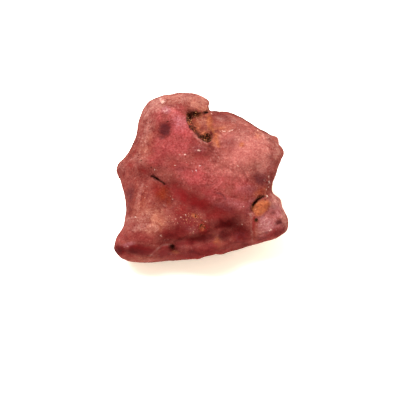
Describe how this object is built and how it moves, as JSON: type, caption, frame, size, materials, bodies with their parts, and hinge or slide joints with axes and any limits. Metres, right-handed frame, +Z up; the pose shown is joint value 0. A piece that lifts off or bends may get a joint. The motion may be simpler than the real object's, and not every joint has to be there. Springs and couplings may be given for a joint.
{
  "type": "rhodolite garnet",
  "caption": "Rough rhodolite garnet: a water-worn lump of rose red crystal with a rusty cleft and socket, lying on a worn flat.",
  "frame": {"origin": "middle of the bounding box, at its base, on the surface that the stone lies on", "axes": "+Z up from the worn flat it lies on; -Y the side that the broad face leans towards; +X to the right seen from there"},
  "size_m": [0.0152, 0.0142, 0.0104],
  "materials": {
    "garnet": "clouded rose red crystal with a frosted water-worn skin, rust brown staining in its pits and a clearer deep red core"
  },
  "bodies": {
    "root": {"garnet": "garnet"}
  },
  "joints": []
}
